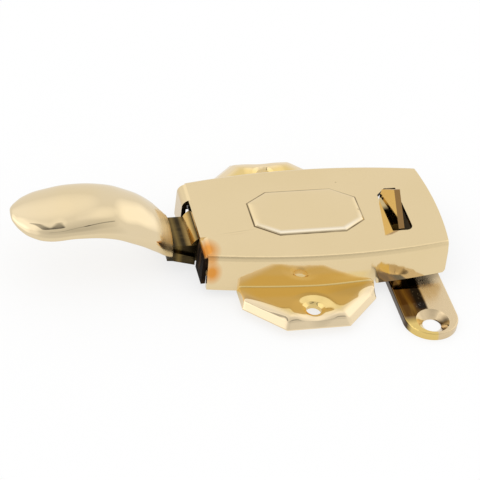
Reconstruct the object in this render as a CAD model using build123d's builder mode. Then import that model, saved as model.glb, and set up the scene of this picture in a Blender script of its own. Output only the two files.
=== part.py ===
from build123d import *
import os
from math import cos, radians, sin, tan

os.makedirs("parts", exist_ok=True)

# Millimetres. The origin is midway between the two ear screws on the mounting face.
# +X runs from the lever to the strike, +Y is away from the viewer and +Z is out of the door.

# Case sheet, with half widths at the top edge of its splayed walls
sheet = 1.0
case_left_x = -21.5
case_length = 54.0
case_height = 8.6
wall_splay = 5.5
wall_foot_z = 0.4
left_half_width = 13.35
middle_half_width = 15.9
right_half_width = 13.9
end_bulge = 1.2
fold_radius = 1.3
wall_end_slant = 0.5
wall_end_radius = 1.0

# Lever notch and the two end legs beside it
notch_half_width = 6.5
notch_edge_overhang = 0.5
leg_fold_radius = 2.0
front_leg_fold_start = 1.2
rear_leg_fold_start = 0.15
leg_seam = 0.15
front_leg_lean = 0.5
rear_leg_lean = 1.0

# Screw ears
ear_start_x = -15.0
ear_end_x = 15.5
ear_neck_y = 9.0
ear_shoulder_left_y = 21.0
ear_shoulder_right_y = 20.8
ear_root_right_y = 17.5
ear_tip_y = 28.7
ear_tip_left_x = -6.9
ear_tip_right_x = 7.1
ear_rim_right_x = 15.0
ear_thickness = 1.3
ear_recess = 0.3
ear_rim_width = 2.0
ear_rim_drop = 0.85
ear_rim_run = 0.9
ear_band_drop = 0.35
ear_band_run = 2.4
ear_screw_y = 23.9
ear_screw_radius = 1.65
ear_dimple_radius = 3.2
ear_hole_land = 0.4
relief_width = 0.35
relief_height = 2.2

# Octagon raised in the cover
octagon_x = 3.2
octagon_half_length = 12.5
octagon_half_width = 7.5
octagon_corner_x = 5.0
octagon_corner_y = 3.5
octagon_rise = 0.4
octagon_taper = 50

# Window in the cover
window_left_x = 21.1
window_right_x = 26.0
window_front_y = -8.5
window_rear_y = 6.5
window_cut = 2.2
window_corner_radius = 1.6

# Pivot of the lever
pivot_x = case_left_x + 1.2
pivot_z = 4.1
pin_radius = 0.9
pin_clearance = 0.05
bead_radius = 1.4
bead_length = 0.5

# Lever: distance from the case's left end, underside height, width and thickness
lever_stations = (
    (-40.7, 12.6, 3.0, 1.2),
    (-40.2, 12.3, 5.4, 1.6),
    (-39.0, 11.5, 9.2, 2.3),
    (-37.0, 10.9, 13.2, 3.1),
    (-33.0, 10.6, 16.6, 3.7),
    (-27.0, 11.1, 17.4, 4.5),
    (-21.0, 10.3, 17.0, 5.5),
    (-15.0, 7.7, 16.2, 6.8),
    (-10.0, 4.5, 14.7, 7.4),
    (-6.9, 2.2, 12.6, 6.7),
)
# Half of the lever's cross-section, as shares of its half-width and its thickness
lever_section = (
    (0.55, 0.02),
    (0.87, 0.13),
    (1.0, 0.38),
    (0.90, 0.64),
    (0.58, 0.90),
)
hub_half_width = 5.0
hub_neck_x = -10.0
hub_neck_z = 5.6
hub_lip_z = 7.4
hub_heel_x = -6.2
hub_heel_z = 1.3
hub_foot_x = -3.0
hub_floor_z = 0.8
hub_end_x = -0.2
groove_left_x = -6.2
groove_floor_z = 5.3
barrel_radius = 3.3
barrel_core_radius = 1.75
flange_half_width = 5.8
flange_left_x = -7.0
flange_right_x = -0.9
flange_left_low_z = 2.1
flange_left_high_z = 4.6
flange_right_low_z = 0.3
flange_right_high_z = 2.4

# Arm of the lever and yoke of the bolt
arm_reach = 3.0
arm_rest_angle = 66.0
arm_tip_radius = 0.7
arm_half_width = 1.1
yoke_clearance = 0.45
yoke_side_clearance = 0.3
yoke_wall = 1.0
yoke_half_width = 3.0
yoke_left_gap = -0.25
barrel_cut_angle = 42.0
yoke_low_z = 0.4
yoke_high_z = 2.05
yoke_end_x = case_left_x + 8.0
barrel_slot_clearance = 0.4

# Bolt
shank_radius = 1.3
shank_z = 2.7
block_left_x = case_left_x + 23.0
block_right_x = case_left_x + 39.0
block_half_width = 4.0
block_low_z = 1.15
block_high_z = 5.0
nose_right_x = case_left_x + 45.0
nose_half_width = 2.2
nose_low_z = 1.7
nose_high_z = 4.9
nose_bevel = 1.6
block_edge_radius = 0.4

# Guides under the cover
rear_guide_x = case_left_x + 10.0
rear_guide_thickness = 1.0
rear_guide_half_width = 6.0
guide_foot_gap = 0.3
shank_clearance = 0.1
front_guide_x = case_left_x + 29.0
front_guide_length = 4.0
strap_sheet = 0.7
strap_side_clearance = 0.2
strap_floor_clearance = 0.15
strap_foot = 2.0

# Return spring
spring_mean_radius = 2.1
spring_wire_radius = 0.25
spring_turns = 7.5
spring_end_gap = 0.3

# Strike
strike_end_inset = 7.0
strike_width = 12.1
strike_thickness = 1.7
strike_front_y = -33.4
strike_rear_y = 13.4
strike_screw_inset = 4.5
strike_screw_radius = 2.05
strike_sink_radius = 3.65
strike_hole_land = 0.3
strike_edge_radius = 0.3

# Tooth of the strike
tooth_thickness = 1.35
tooth_end_inset = 10.5
tooth_skew = 4.5
tooth_front_y = -8.0
tooth_rear_y = 4.1
tooth_peak_y = -2.3
tooth_peak_z = 15.1
tooth_shoulder_y = 3.6
tooth_shoulder_z = 10.7
tooth_hole_clearance = 0.4

case_right_x = case_left_x + case_length
case_middle_x = case_left_x + case_length / 2
inner_height = case_height - sheet
wall_slope = tan(radians(wall_splay))
strike_x = case_right_x - strike_end_inset
tooth_left_x = case_right_x - tooth_end_inset

# Ear outline and the heights of its turned-down rim
ear_outline = [
    (ear_start_x, ear_neck_y),
    (ear_start_x, ear_shoulder_left_y),
    (ear_tip_left_x, ear_tip_y),
    (ear_tip_right_x, ear_tip_y),
    (ear_rim_right_x, ear_shoulder_right_y),
    (ear_end_x, ear_root_right_y),
    (ear_end_x, ear_neck_y),
]
ear_layers = (
    (0, 0),
    (ear_thickness - ear_band_drop - ear_rim_drop, 0),
    (ear_thickness - ear_band_drop, ear_rim_run),
    (ear_thickness, ear_rim_run + ear_band_run),
)


# The pin reaches the walls' inner faces at its own height
pin_half_length = left_half_width - sheet + (case_height - pivot_z) * wall_slope

# Arm in its rest pose, from the pivot to the round tip that sits in the yoke
arm_tip_x = pivot_x + arm_reach * cos(radians(arm_rest_angle))
arm_tip_z = pivot_z - arm_reach * sin(radians(arm_rest_angle))
arm_side_x = arm_tip_radius * sin(radians(arm_rest_angle))
arm_side_z = arm_tip_radius * cos(radians(arm_rest_angle))
arm_outline = [
    (pivot_x - arm_side_x, pivot_z - arm_side_z),
    (arm_tip_x - arm_side_x, arm_tip_z - arm_side_z),
    (arm_tip_x + arm_side_x, arm_tip_z + arm_side_z),
    (pivot_x + arm_side_x, pivot_z + arm_side_z),
]
slot_left_x = arm_tip_x - arm_tip_radius - yoke_clearance
slot_right_x = arm_tip_x + arm_tip_radius + yoke_clearance
yoke_left_x = slot_left_x - yoke_wall
shank_left_x = yoke_end_x - 2.0

# Strap drawn once round: down one side, under the block and up the other side
strap_inner_y = block_half_width + strap_side_clearance
strap_outer_y = strap_inner_y + strap_sheet
strap_inner_z = block_low_z - strap_floor_clearance
strap_outer_z = strap_inner_z - strap_sheet
strap_top_z = inner_height + octagon_rise
strap_points = [
    (-strap_outer_y - strap_foot + strap_sheet, strap_top_z),
    (-strap_outer_y - strap_foot + strap_sheet, strap_top_z - strap_sheet),
    (-strap_outer_y, strap_top_z - strap_sheet),
    (-strap_outer_y, strap_outer_z),
    (strap_outer_y, strap_outer_z),
    (strap_outer_y, strap_top_z - strap_sheet),
    (strap_outer_y + strap_foot - strap_sheet, strap_top_z - strap_sheet),
    (strap_outer_y + strap_foot - strap_sheet, strap_top_z),
    (strap_inner_y, strap_top_z),
    (strap_inner_y, strap_inner_z),
    (-strap_inner_y, strap_inner_z),
    (-strap_inner_y, strap_top_z),
]
spring_left_x = rear_guide_x + rear_guide_thickness + spring_wire_radius + spring_end_gap
spring_length = block_left_x - spring_wire_radius - spring_end_gap - spring_left_x
spring_pitch = spring_length / spring_turns


# One ear, drawn for the rear side and mirrored for the front: its rim is turned down in two slopes
with BuildPart() as ear:
    for layer_z, layer_inset in ear_layers:
        with BuildSketch(Plane.XY.offset(layer_z)):
            Polygon(*ear_outline, align=None)
            if layer_inset > 0:
                offset(amount=-layer_inset, kind=Kind.INTERSECTION, mode=Mode.REPLACE)
    loft(ruled=True)
    with BuildSketch(Plane.XY):
        Polygon(*ear_outline, align=None)
        offset(amount=-ear_rim_width, kind=Kind.INTERSECTION, mode=Mode.REPLACE)
    extrude(amount=ear_recess, mode=Mode.SUBTRACT)

# The case is cut from one outer block, so that the sheet has the same thickness all over
with BuildPart() as case:
    for level_z in (0, case_height):
        spread = (case_height - level_z) * wall_slope
        with BuildSketch(Plane.XY.offset(level_z)):
            with BuildLine():
                ThreePointArc(
                    (case_left_x, -left_half_width - spread),
                    (case_middle_x, -middle_half_width - spread),
                    (case_right_x, -right_half_width - spread),
                )
                ThreePointArc(
                    (case_right_x, -right_half_width - spread),
                    (case_right_x + end_bulge, 0),
                    (case_right_x, right_half_width + spread),
                )
                ThreePointArc(
                    (case_right_x, right_half_width + spread),
                    (case_middle_x, middle_half_width + spread),
                    (case_left_x, left_half_width + spread),
                )
                Line(
                    (case_left_x, left_half_width + spread),
                    (case_left_x, -left_half_width - spread),
                )
            make_face()
    loft(ruled=True)
    top_edges = case.edges().group_by(Axis.Z)[-1].sort_by(Axis.Y)
    fillet((top_edges[0], top_edges[-1]), radius=fold_radius)

    # Beside the ears the walls end a little above the mounting face
    with BuildSketch(Plane.XY):
        with Locations((case_middle_x, 0)):
            Rectangle(2 * case_length, 4 * middle_half_width)
        with Locations(((ear_start_x + ear_end_x) / 2, 0)):
            Rectangle(ear_end_x - ear_start_x, 4 * middle_half_width, mode=Mode.SUBTRACT)
    extrude(amount=wall_foot_z, mode=Mode.SUBTRACT)
    add(ear.part)
    add(ear.part.mirror(Plane.XZ))

    # Octagon pressed up from below
    octagon_points = [
        (octagon_x - octagon_half_length, -octagon_half_width + octagon_corner_y),
        (octagon_x - octagon_half_length + octagon_corner_x, -octagon_half_width),
        (octagon_x + octagon_half_length - octagon_corner_x, -octagon_half_width),
        (octagon_x + octagon_half_length, -octagon_half_width + octagon_corner_y),
        (octagon_x + octagon_half_length, octagon_half_width - octagon_corner_y),
        (octagon_x + octagon_half_length - octagon_corner_x, octagon_half_width),
        (octagon_x - octagon_half_length + octagon_corner_x, octagon_half_width),
        (octagon_x - octagon_half_length, octagon_half_width - octagon_corner_y),
    ]
    with BuildSketch(Plane.XY.offset(case_height)):
        Polygon(*octagon_points, align=None)
    extrude(amount=octagon_rise, taper=octagon_taper)

    # Inside of the sheet, open below and at the right end
    for level_z in (0, inner_height):
        spread = (case_height - level_z) * wall_slope - sheet
        with BuildSketch(Plane.XY.offset(level_z)):
            with BuildLine():
                ThreePointArc(
                    (case_left_x, -left_half_width - spread),
                    (case_middle_x, -middle_half_width - spread),
                    (case_right_x + sheet, -right_half_width - spread),
                )
                Polyline(
                    (case_right_x + sheet, -right_half_width - spread),
                    (case_right_x + 3 * sheet, -right_half_width - spread),
                    (case_right_x + 3 * sheet, right_half_width + spread),
                    (case_right_x + sheet, right_half_width + spread),
                )
                ThreePointArc(
                    (case_right_x + sheet, right_half_width + spread),
                    (case_middle_x, middle_half_width + spread),
                    (case_left_x, left_half_width + spread),
                )
                Polyline(
                    (case_left_x, left_half_width + spread),
                    (case_left_x - 3 * sheet, left_half_width + spread),
                    (case_left_x - 3 * sheet, -left_half_width - spread),
                    (case_left_x, -left_half_width - spread),
                )
            make_face()
    loft(ruled=True, mode=Mode.SUBTRACT)
    inner_edges = [
        edge
        for edge in case.edges()
        if edge.length > case_length / 2 and abs(edge.center().Z - inner_height) < sheet / 2
    ]
    fillet(inner_edges, radius=fold_radius - sheet)
    with BuildSketch(Plane.XY.offset(inner_height)):
        Polygon(*octagon_points, align=None)
    extrude(amount=octagon_rise, taper=octagon_taper, mode=Mode.SUBTRACT)

    # Each end leg is bent down over a fold of its own, with a seam beside the wall
    legs = ((-1, front_leg_fold_start, front_leg_lean), (1, rear_leg_fold_start, rear_leg_lean))
    for side, fold_start, lean in legs:
        leg_middle_y = side * (notch_half_width + left_half_width - sheet - leg_seam) / 2
        leg_width = left_half_width - sheet - leg_seam - notch_half_width
        fold_x = case_left_x + fold_start
        fold_z = case_height - leg_fold_radius
        away_x = cos(radians(lean))
        away_z = sin(radians(lean))
        slope = tan(radians(lean))
        bend_x = cos(radians(45 - lean / 2))
        bend_z = sin(radians(45 + lean / 2))
        inner_radius = leg_fold_radius - sheet
        outer_end = (fold_x - leg_fold_radius * away_x, fold_z + leg_fold_radius * away_z)
        inner_end = (fold_x - inner_radius * away_x, fold_z + inner_radius * away_z)
        outer_foot = (outer_end[0] - (outer_end[1] - wall_foot_z) * slope, wall_foot_z)
        inner_foot = (inner_end[0] - (inner_end[1] - wall_foot_z) * slope, wall_foot_z)
        with BuildSketch(Plane.XY):
            with Locations((case_left_x, leg_middle_y)):
                Rectangle(2 * fold_start, leg_width)
        extrude(amount=case_height, mode=Mode.SUBTRACT)
        with BuildSketch(Plane.XZ.offset(-leg_middle_y)):
            with BuildLine():
                Line((fold_x, fold_z + inner_radius), (fold_x, case_height))
                ThreePointArc(
                    (fold_x, case_height),
                    (fold_x - leg_fold_radius * bend_x, fold_z + leg_fold_radius * bend_z),
                    outer_end,
                )
                Polyline(outer_end, outer_foot, inner_foot, inner_end)
                ThreePointArc(
                    inner_end,
                    (fold_x - inner_radius * bend_x, fold_z + inner_radius * bend_z),
                    (fold_x, fold_z + inner_radius),
                )
            make_face()
        extrude(amount=leg_width / 2, both=True)

    # Raw edge of the cover over the notch
    with BuildSketch(Plane.XY.offset(inner_height)):
        with Locations((case_left_x - notch_edge_overhang / 2, 0)):
            Rectangle(notch_edge_overhang, 2 * notch_half_width)
    extrude(amount=sheet)

    # Window with one cut corner and one rounded corner
    with BuildSketch(Plane.XY.offset(inner_height)) as window_plan:
        with BuildLine():
            Polyline(
                (window_left_x, window_front_y),
                (window_right_x, window_front_y),
                (window_right_x, window_rear_y),
                (window_left_x + window_cut, window_rear_y),
                (window_left_x, window_rear_y - window_cut),
                close=True,
            )
        make_face()
        round_corner = window_plan.vertices().sort_by(Axis.Y)[:2].sort_by(Axis.X)[-1]
        fillet(round_corner, radius=window_corner_radius)
    extrude(amount=2 * sheet, mode=Mode.SUBTRACT)

    # Side walls end on a slight slant at the right, with a rounded lower corner
    with BuildSketch(Plane.XZ) as slant_plan:
        with BuildLine():
            Polyline(
                (case_right_x, inner_height - fold_radius),
                (case_right_x - wall_end_slant, wall_end_radius),
                (case_right_x - wall_end_slant - wall_end_radius, 0),
                (case_right_x - wall_end_slant - wall_end_radius, -sheet),
                (case_right_x + 3 * sheet, -sheet),
                (case_right_x + 3 * sheet, inner_height - fold_radius),
                close=True,
            )
        make_face()
        slant_corner = [
            vertex
            for vertex in slant_plan.vertices()
            if abs(vertex.X - case_right_x + wall_end_slant) < 0.01
        ]
        fillet(slant_corner, radius=wall_end_radius)
    extrude(amount=2 * middle_half_width, both=True, mode=Mode.SUBTRACT)

    # Small relief cut where each ear leaves the wall
    with BuildSketch(Plane.XY):
        with Locations((ear_end_x + relief_width / 2, 0)):
            Rectangle(relief_width, 2 * middle_half_width + 2 * sheet)
    extrude(amount=relief_height, mode=Mode.SUBTRACT)

    # Ear screw holes in dimples pressed down to the mounting face
    for side in (-1, 1):
        with Locations((0, side * ear_screw_y, 0)):
            Cylinder(
                radius=ear_dimple_radius + sheet / 2,
                height=ear_recess,
                align=(Align.CENTER, Align.CENTER, Align.MIN),
            )
            Hole(radius=ear_screw_radius, depth=4 * ear_thickness)
        with Locations((0, side * ear_screw_y, ear_hole_land)):
            Cone(
                bottom_radius=ear_screw_radius,
                top_radius=ear_dimple_radius,
                height=ear_thickness - ear_hole_land,
                align=(Align.CENTER, Align.CENTER, Align.MIN),
                mode=Mode.SUBTRACT,
            )
case.part.label = "case"

# Steel pin across the left end
with BuildPart() as pivot_pin:
    with BuildSketch(Plane.XZ):
        with Locations((pivot_x, pivot_z)):
            Circle(pin_radius)
    extrude(amount=pin_half_length, both=True)
pivot_pin.part.label = "pivot_pin"

# Conical beads round the pin's ends, lying against the walls and the legs
with BuildPart() as braze_beads:
    for side in (-1, 1):
        with BuildSketch(Plane(origin=(pivot_x, 0, pivot_z), x_dir=(0, side, 0), z_dir=(side, 0, 0))):
            with BuildLine():
                Polyline(
                    (pin_half_length - bead_length, pin_radius),
                    (pin_half_length, bead_radius),
                    (pin_half_length + sheet / 2, bead_radius),
                    (pin_half_length + sheet / 2, pin_radius),
                    close=True,
                )
            make_face()
        revolve(axis=Axis((pivot_x, 0, pivot_z), (0, 1, 0)))
    add(case.part, mode=Mode.SUBTRACT)
braze_beads.part.label = "braze_beads"

# Handle of the lever, lofted through its cross-sections
with BuildPart() as handle:
    for station_x, underside_z, width, thickness in lever_stations:
        half_section = [(share_y * width / 2, share_z * thickness) for share_y, share_z in lever_section]
        outline = [(0, 0)]
        outline += half_section
        outline += [(0, thickness)]
        outline += [(-y, z) for y, z in reversed(half_section)]
        section_plane = Plane(
            origin=(case_left_x + station_x, 0, underside_z),
            x_dir=(0, 1, 0),
            z_dir=(1, 0, 0),
        )
        with BuildSketch(section_plane):
            with BuildLine():
                Spline(*outline, periodic=True)
            make_face()
    loft()

with BuildPart() as lever:
    add(handle.part)

    # Neck, groove and underside of the hub
    with BuildSketch(Plane.XZ):
        with BuildLine():
            Polyline(
                (case_left_x + hub_neck_x, hub_neck_z),
                (case_left_x + hub_heel_x, hub_heel_z),
                (case_left_x + hub_foot_x, hub_floor_z),
                (case_left_x + hub_end_x, hub_floor_z),
                (case_left_x + hub_end_x, groove_floor_z),
                (case_left_x + groove_left_x, groove_floor_z),
                (case_left_x + groove_left_x, hub_lip_z),
                close=True,
            )
        make_face()
    extrude(amount=hub_half_width, both=True)
    with BuildSketch(Plane.XZ):
        with Locations((pivot_x, pivot_z)):
            Circle(barrel_radius)
    extrude(amount=hub_half_width, both=True)

    # Flange along both sides of the hub
    with BuildSketch(Plane.XZ):
        with BuildLine():
            Polyline(
                (case_left_x + flange_left_x, flange_left_low_z),
                (case_left_x + flange_right_x, flange_right_low_z),
                (case_left_x + flange_right_x, flange_right_high_z),
                (case_left_x + flange_left_x, flange_left_high_z),
                close=True,
            )
        make_face()
    extrude(amount=flange_half_width, both=True)

    # Room for the bolt's yoke under and behind the barrel
    with BuildSketch(Plane.XZ):
        with BuildLine():
            Polyline(
                (case_left_x + yoke_left_gap, -sheet),
                (case_left_x + yoke_left_gap, pivot_z - barrel_core_radius),
                (pivot_x, pivot_z),
                (
                    pivot_x + 2 * barrel_radius * cos(radians(barrel_cut_angle)),
                    pivot_z + 2 * barrel_radius * sin(radians(barrel_cut_angle)),
                ),
                (pivot_x + 3 * barrel_radius, -sheet),
                close=True,
            )
        make_face()
        with Locations((pivot_x, pivot_z)):
            Circle(barrel_core_radius, mode=Mode.SUBTRACT)
    extrude(amount=yoke_half_width + barrel_slot_clearance, both=True, mode=Mode.SUBTRACT)

    # Arm that reaches down into the yoke
    with BuildSketch(Plane.XZ):
        with BuildLine():
            Polyline(*arm_outline, close=True)
        make_face()
        with Locations((arm_tip_x, arm_tip_z)):
            Circle(arm_tip_radius)
    extrude(amount=arm_half_width, both=True)

    # Bore for the pin
    with BuildSketch(Plane.XZ):
        with Locations((pivot_x, pivot_z)):
            Circle(pin_radius + pin_clearance)
    extrude(amount=2 * hub_half_width, both=True, mode=Mode.SUBTRACT)
lever.part.label = "lever"

# Sliding bolt, all on the centre line
with BuildPart() as bolt:
    with BuildSketch(Plane.XY.offset(yoke_low_z)):
        with Locations(((yoke_left_x + yoke_end_x) / 2, 0)):
            Rectangle(yoke_end_x - yoke_left_x, 2 * yoke_half_width)
        with Locations(((slot_left_x + slot_right_x) / 2, 0)):
            Rectangle(
                slot_right_x - slot_left_x,
                2 * (arm_half_width + yoke_side_clearance),
                mode=Mode.SUBTRACT,
            )
    extrude(amount=yoke_high_z - yoke_low_z)
    with BuildSketch(Plane.YZ.offset(shank_left_x)):
        with Locations((0, shank_z)):
            Circle(shank_radius)
    extrude(amount=block_left_x - shank_left_x)
    with BuildSketch(Plane.XY.offset(block_low_z)):
        with Locations(((block_left_x + block_right_x) / 2, 0)):
            Rectangle(block_right_x - block_left_x, 2 * block_half_width)
    extrude(amount=block_high_z - block_low_z)
    block_corners = [
        edge
        for edge in bolt.edges().filter_by(Axis.Z)
        if abs(edge.center().Y) > block_half_width - 0.01
    ]
    fillet(block_corners, radius=block_edge_radius)
    with BuildSketch(Plane.XZ):
        with BuildLine():
            Polyline(
                (block_right_x - 1, nose_low_z),
                (nose_right_x - nose_bevel, nose_low_z),
                (nose_right_x, nose_low_z + nose_bevel),
                (nose_right_x, nose_high_z),
                (block_right_x - 1, nose_high_z),
                close=True,
            )
        make_face()
    extrude(amount=nose_half_width, both=True)
bolt.part.label = "bolt"

# Plate that carries the shank and backs the spring
with BuildPart() as rear_guide:
    with BuildSketch(Plane.YZ.offset(rear_guide_x)):
        with Locations((0, (guide_foot_gap + inner_height) / 2)):
            Rectangle(2 * rear_guide_half_width, inner_height - guide_foot_gap)
        with Locations((0, shank_z)):
            Circle(shank_radius + shank_clearance, mode=Mode.SUBTRACT)
    extrude(amount=rear_guide_thickness)
    guide_corners = [
        edge for edge in rear_guide.edges().filter_by(Axis.X) if edge.center().Z < guide_foot_gap + 0.01
    ]
    fillet(guide_corners, radius=1.0)
rear_guide.part.label = "rear_guide"

# U-shaped strap that carries the block
with BuildPart() as front_guide:
    with BuildSketch(Plane.YZ.offset(front_guide_x)) as strap_outline:
        with BuildLine():
            Polyline(*strap_points, close=True)
        make_face()
    extrude(amount=front_guide_length)
front_guide.part.label = "front_guide"

# Coil spring between the plate and the block
with BuildPart() as return_spring:
    with BuildLine() as coil:
        Helix(
            pitch=spring_pitch,
            height=spring_length,
            radius=spring_mean_radius,
            center=(spring_left_x, 0, shank_z),
            direction=(1, 0, 0),
        )
    with BuildSketch(Plane(origin=coil.line @ 0, z_dir=coil.line % 0)):
        Circle(spring_wire_radius)
    sweep()
return_spring.part.label = "return_spring"

# Bar of the strike with its upright tooth
with BuildPart() as strike:
    with BuildSketch(Plane.XY.offset(-strike_thickness)):
        with Locations((strike_x, (strike_front_y + strike_rear_y) / 2)):
            SlotOverall(strike_rear_y - strike_front_y, strike_width, rotation=90)
    extrude(amount=strike_thickness)
    fillet(strike.edges().group_by(Axis.Z)[-1], radius=strike_edge_radius)
    for screw_y in (strike_front_y + strike_screw_inset, strike_rear_y - strike_screw_inset):
        with Locations((strike_x, screw_y, 0)):
            Hole(radius=strike_screw_radius, depth=2 * strike_thickness)
        with Locations((strike_x, screw_y, strike_hole_land - strike_thickness)):
            Cone(
                bottom_radius=strike_screw_radius,
                top_radius=strike_sink_radius,
                height=strike_thickness - strike_hole_land,
                align=(Align.CENTER, Align.CENTER, Align.MIN),
                mode=Mode.SUBTRACT,
            )
    tooth_plane = Plane(
        origin=(tooth_left_x, 0, 0),
        x_dir=(-sin(radians(tooth_skew)), cos(radians(tooth_skew)), 0),
        z_dir=(cos(radians(tooth_skew)), sin(radians(tooth_skew)), 0),
    )
    with BuildSketch(tooth_plane) as tooth_plan:
        with BuildLine():
            Polyline(
                (tooth_front_y, -strike_thickness / 2),
                (tooth_front_y, case_height),
                (tooth_peak_y, tooth_peak_z),
                (tooth_shoulder_y, tooth_shoulder_z),
                (tooth_rear_y, case_height),
                (tooth_rear_y, -strike_thickness / 2),
                close=True,
            )
        make_face()
        with Locations((0, (nose_low_z + nose_high_z) / 2)):
            Rectangle(
                2 * (nose_half_width + tooth_hole_clearance),
                nose_high_z - nose_low_z + 2 * tooth_hole_clearance,
                mode=Mode.SUBTRACT,
            )
    extrude(amount=tooth_thickness)
strike.part.label = "strike"

export_step(case.part, "parts/case.step")
export_step(pivot_pin.part, "parts/pivot_pin.step")
export_step(braze_beads.part, "parts/braze_beads.step")
export_step(lever.part, "parts/lever.step")
export_step(bolt.part, "parts/bolt.step")
export_step(rear_guide.part, "parts/rear_guide.step")
export_step(front_guide.part, "parts/front_guide.step")
export_step(return_spring.part, "parts/return_spring.step")
export_step(strike.part, "parts/strike.step")
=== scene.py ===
import math
import bmesh
import bpy
from mathutils import Matrix, Vector


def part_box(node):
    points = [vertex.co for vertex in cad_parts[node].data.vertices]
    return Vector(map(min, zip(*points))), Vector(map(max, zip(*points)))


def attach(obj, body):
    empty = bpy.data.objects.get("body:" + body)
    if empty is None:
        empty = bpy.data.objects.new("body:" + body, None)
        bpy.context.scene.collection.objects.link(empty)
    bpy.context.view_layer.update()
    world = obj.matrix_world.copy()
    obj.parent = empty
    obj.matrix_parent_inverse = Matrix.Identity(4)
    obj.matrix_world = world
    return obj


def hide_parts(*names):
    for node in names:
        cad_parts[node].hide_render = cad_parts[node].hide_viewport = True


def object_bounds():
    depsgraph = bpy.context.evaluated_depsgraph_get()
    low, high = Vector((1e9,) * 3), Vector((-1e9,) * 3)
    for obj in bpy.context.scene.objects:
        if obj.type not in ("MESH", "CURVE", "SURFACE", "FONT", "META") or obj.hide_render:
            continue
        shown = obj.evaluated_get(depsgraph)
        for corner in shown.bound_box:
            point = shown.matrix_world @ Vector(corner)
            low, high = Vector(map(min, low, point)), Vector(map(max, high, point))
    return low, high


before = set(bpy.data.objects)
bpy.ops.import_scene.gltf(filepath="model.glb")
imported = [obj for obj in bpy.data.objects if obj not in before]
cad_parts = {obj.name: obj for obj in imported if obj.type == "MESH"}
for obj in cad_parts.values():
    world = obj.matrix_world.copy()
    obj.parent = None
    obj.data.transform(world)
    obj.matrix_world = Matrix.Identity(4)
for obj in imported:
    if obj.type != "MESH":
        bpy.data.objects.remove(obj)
cadLow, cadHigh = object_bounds()
mm = 0.001
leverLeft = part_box("lever")[0].x
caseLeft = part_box("pivot_pin")[0].x - 0.3 * mm  # the cover's left edge, just beyond the pin
print("frame loaded")


class Field:
    # wraps a node socket, so that sums and products can be written as plain expressions
    def __init__(self, tree, socket):
        self.tree = tree
        self.socket = socket

    def mix(self, operation, *values):
        return self.tree.add("ShaderNodeMath", {"operation": operation}, dict(enumerate(values)))

    def take(self, operation, *others):
        return self.mix(operation, self, *others)

    def __add__(self, other):
        return self.take("ADD", other)

    def __radd__(self, other):
        return self.mix("ADD", other, self)

    def __sub__(self, other):
        return self.take("SUBTRACT", other)

    def __rsub__(self, other):
        return self.mix("SUBTRACT", other, self)

    def __mul__(self, other):
        return self.take("MULTIPLY", other)

    def __rmul__(self, other):
        return self.mix("MULTIPLY", other, self)

    def __pow__(self, other):
        return self.take("POWER", other)

    def size(self):
        return self.take("ABSOLUTE")

    def clip(self):
        return self.take("MAXIMUM", 0.0).take("MINIMUM", 1.0)

    def above(self, level, soft):
        # 0 up to level, then rising to 1 within soft
        return ((self - level) * (1.0 / soft)).clip()

    def below(self, level, soft):
        # 1 up to level, then falling to 0 within soft
        return 1.0 - self.above(level, soft)

    def near(self, level, half):
        # 1 at level, falling to 0 at half on either side
        return (1.0 - (self - level).size() * (1.0 / half)).clip()


class Tree:
    # a node tree; add() makes any node and gives back one of its outputs
    def __init__(self, nodeTree):
        self.nodeTree = nodeTree

    def add(self, kind, settings=None, inputs=None, output=0):
        node = self.nodeTree.nodes.new(kind)
        for key, value in (settings or {}).items():
            if key == "points":
                self.setPoints(node.mapping, value)
            else:
                setattr(node, key, value)
        for key, value in (inputs or {}).items():
            if isinstance(value, Field):
                self.nodeTree.links.new(value.socket, node.inputs[key])
            else:
                node.inputs[key].default_value = value
        return Field(self, node.outputs[output]) if len(node.outputs) else node

    def other(self, field, name):
        return Field(self, field.socket.node.outputs[name])

    def axes(self, where):
        # the X, Y and Z of a vector
        parts = self.add("ShaderNodeSeparateXYZ", None, {0: where})
        return parts, self.other(parts, "Y"), self.other(parts, "Z")

    def vector(self, operation, first, second=None, output="Vector"):
        inputs = {0: first} if second is None else {0: first, 1: second}
        return self.add("ShaderNodeVectorMath", {"operation": operation}, inputs, output)

    def setPoints(self, mapping, points):
        # a new curve has its two end points, so only those between them are added
        curve = mapping.curves[0]
        for place, value in points[1:-1]:
            curve.points.new(place, value)
        ends = (points[0], points[-1])
        for point, (place, value) in zip((curve.points[0], curve.points[-1]), ends):
            point.location = (place, value)
        mapping.update()


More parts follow.
